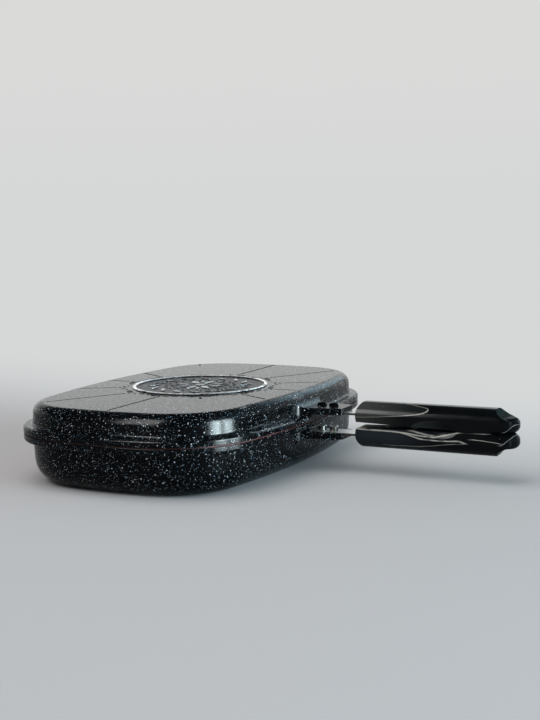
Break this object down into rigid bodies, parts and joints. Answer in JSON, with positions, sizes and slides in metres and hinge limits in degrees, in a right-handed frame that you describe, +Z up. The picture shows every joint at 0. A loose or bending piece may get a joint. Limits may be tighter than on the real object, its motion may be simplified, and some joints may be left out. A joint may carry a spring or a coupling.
{
  "type": "double sided flip pan",
  "caption": "Double-sided frying pan: matching die-cast non-stick halves with bowed sides, hinged along a long side and held shut by a split magnetic handle, turned over to cook each face.",
  "frame": {"origin": "centre of the lower pan's flat base, on the hob face", "axes": "+X along the handles away from the hinge, +Y along the hinge, +Z up from the lower pan to the upper pan"},
  "size_m": [0.4488, 0.36, 0.0732],
  "materials": {
    "coating": "black non-stick coating with fine white granite speckle, on die-cast aluminium",
    "silicone": "matt dark red silicone",
    "steel": "polished stainless steel",
    "black_screw": "black oxide steel",
    "phenolic": "semi-gloss black phenolic with pale marbled veins",
    "brass": "turned brass",
    "magnet": "nickel-plated magnet"
  },
  "bodies": {
    "lower": {"lower_pan": "coating", "seal_ring": "silicone", "lower_tang": "steel", "lower_lug_screws": "black_screw", "lower_lug_nuts": "steel", "lower_grip": "phenolic", "lower_grip_screw": "steel", "lower_grip_insert": "brass", "lower_magnet": "magnet", "lower_magnet_cover": "steel", "hinge_pin_left": "steel", "hinge_pin_right": "steel", "hinge_clips": "steel"},
    "upper": {"upper_pan": "coating", "upper_tang": "steel", "upper_lug_screws": "black_screw", "upper_grip": "phenolic", "upper_grip_screw": "steel", "upper_grip_insert": "brass", "upper_magnet": "magnet", "upper_magnet_cover": "steel"}
  },
  "joints": [
    {"name": "lid_hinge", "type": "hinge", "parent": "lower", "child": "upper", "pos_m": [-0.1292, 0, 0.0453], "axis": [0, -1, 0], "range_deg": [0, 180]}
  ]
}
